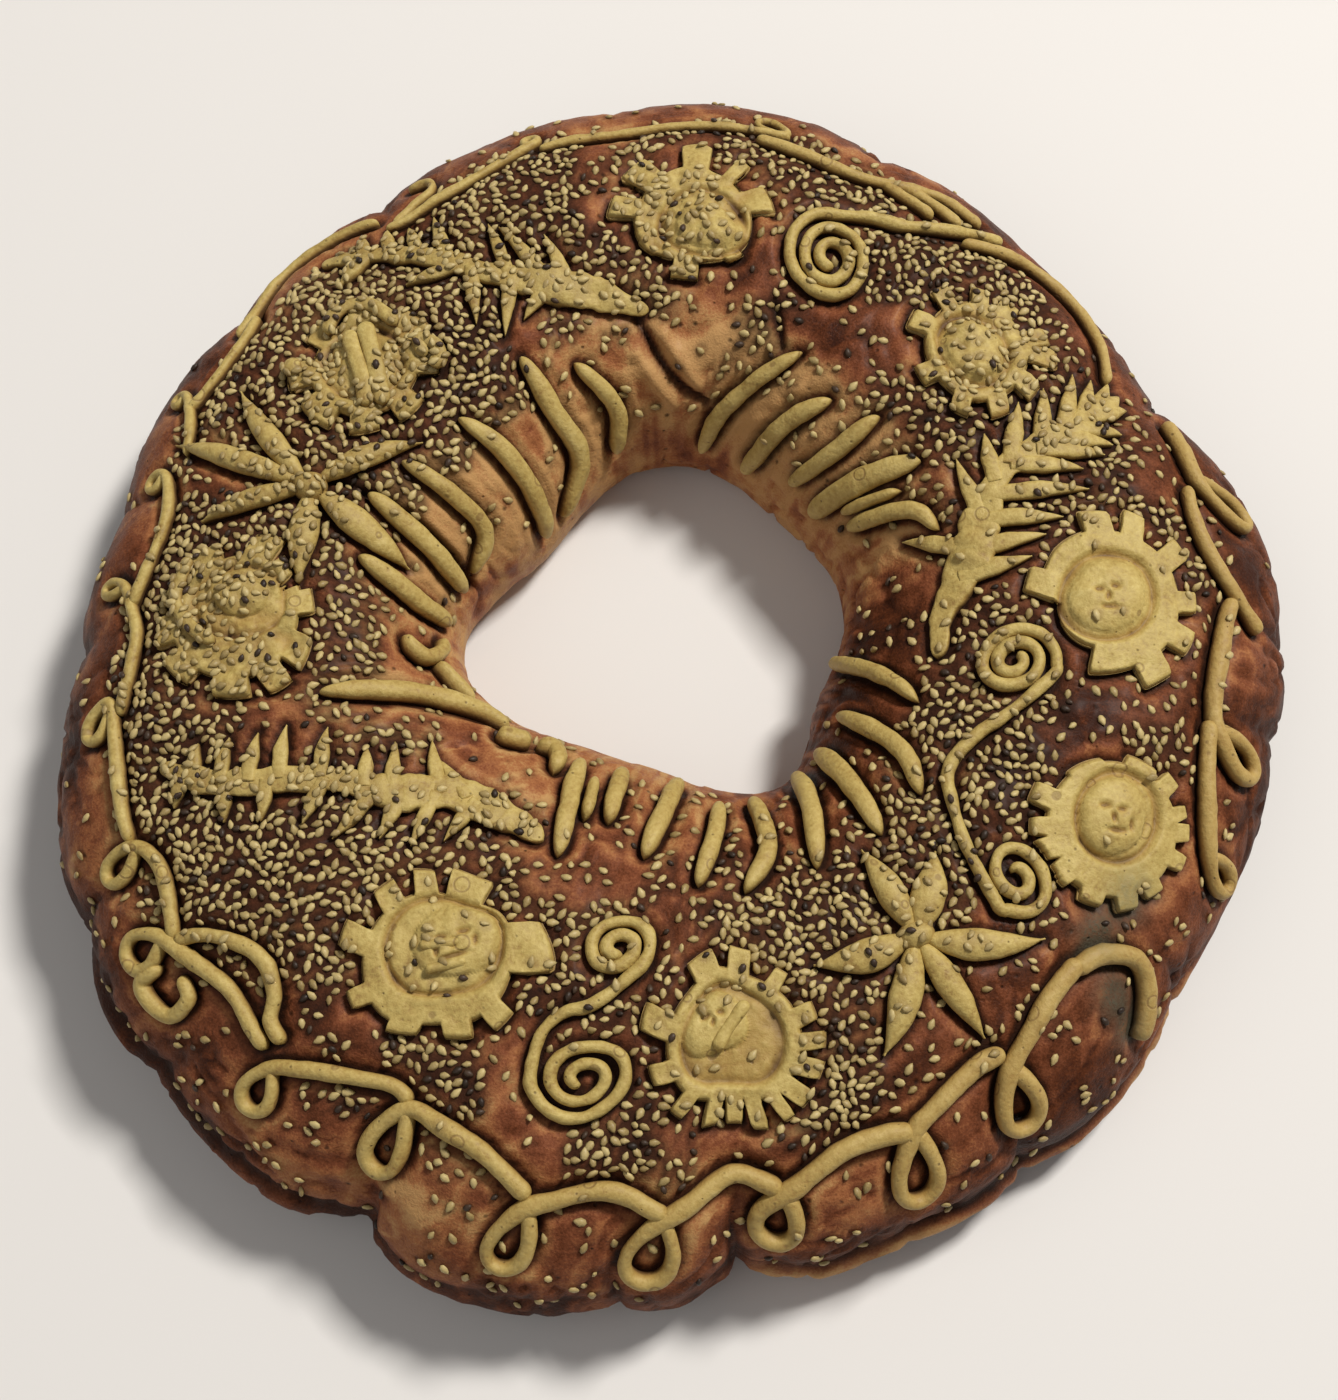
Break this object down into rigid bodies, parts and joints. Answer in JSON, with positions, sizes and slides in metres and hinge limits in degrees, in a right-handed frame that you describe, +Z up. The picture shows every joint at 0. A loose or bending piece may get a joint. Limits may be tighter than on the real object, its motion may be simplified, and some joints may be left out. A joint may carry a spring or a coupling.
{
  "type": "decorated bread ring",
  "caption": "Round festive bread ring with a wide hole: a glazed brown crust strewn with seeds and laid with ropes, rosettes, stars, spirals and fronds of pale dough.",
  "frame": {"origin": "middle of the bounding box on the flat underside", "axes": "+Z up out of the underside, towards the decorated crust; +X to the right and +Y away from the viewer as the ring lies in the picture"},
  "size_m": [0.3374, 0.3499, 0.0654],
  "materials": {
    "brown_crust": "baked bread crust, egg glazed, reddish brown with golden ridges",
    "pale_dough": "baked pale dough, satin, straw yellow with browned edges",
    "sesame_seed": "toasted sesame seed, cream",
    "dark_seed": "dark brown to black seed"
  },
  "bodies": {
    "root": {"bread_ring": "brown_crust", "rim_rope_01": "pale_dough", "rim_rope_02": "pale_dough", "rim_rope_03": "pale_dough", "rim_rope_04": "pale_dough", "rim_rope_05": "pale_dough", "rim_rope_06": "pale_dough", "rim_rope_07": "pale_dough", "rim_rope_08": "pale_dough", "rim_rope_09": "pale_dough", "rim_rope_10": "pale_dough", "rim_rope_11": "pale_dough", "rim_rope_12": "pale_dough", "rim_rope_13": "pale_dough", "rim_rope_14": "pale_dough", "rim_rope_15": "pale_dough", "rim_rope_16": "pale_dough", "rim_rope_17": "pale_dough", "rim_rope_18": "pale_dough", "rim_rope_19": "pale_dough", "rim_rope_20": "pale_dough", "rim_rope_21": "pale_dough", "rim_rope_22": "pale_dough", "hole_finger_01": "pale_dough", "hole_finger_02": "pale_dough", "hole_finger_03": "pale_dough", "hole_finger_04": "pale_dough", "hole_finger_05": "pale_dough", "hole_finger_06": "pale_dough", "hole_finger_07": "pale_dough", "hole_finger_08": "pale_dough", "hole_finger_09": "pale_dough", "hole_finger_10": "pale_dough", "hole_finger_11": "pale_dough", "hole_finger_12": "pale_dough", "hole_finger_13": "pale_dough", "hole_finger_14": "pale_dough", "hole_finger_15": "pale_dough", "hole_finger_16": "pale_dough", "hole_finger_17": "pale_dough", "hole_finger_18": "pale_dough", "hole_finger_19": "pale_dough", "hole_finger_20": "pale_dough", "forked_finger": "pale_dough", "rosette_01": "pale_dough", "rosette_02": "pale_dough", "rosette_03": "pale_dough", "rosette_04": "pale_dough", "rosette_05": "pale_dough", "rosette_06": "pale_dough", "rosette_07": "pale_dough", "rosette_08": "pale_dough", "star_01": "pale_dough", "star_02": "pale_dough", "spiral_01": "pale_dough", "spiral_02": "pale_dough", "spiral_03": "pale_dough", "frond_01": "pale_dough", "frond_02": "pale_dough", "frond_03": "pale_dough"}
  },
  "joints": []
}
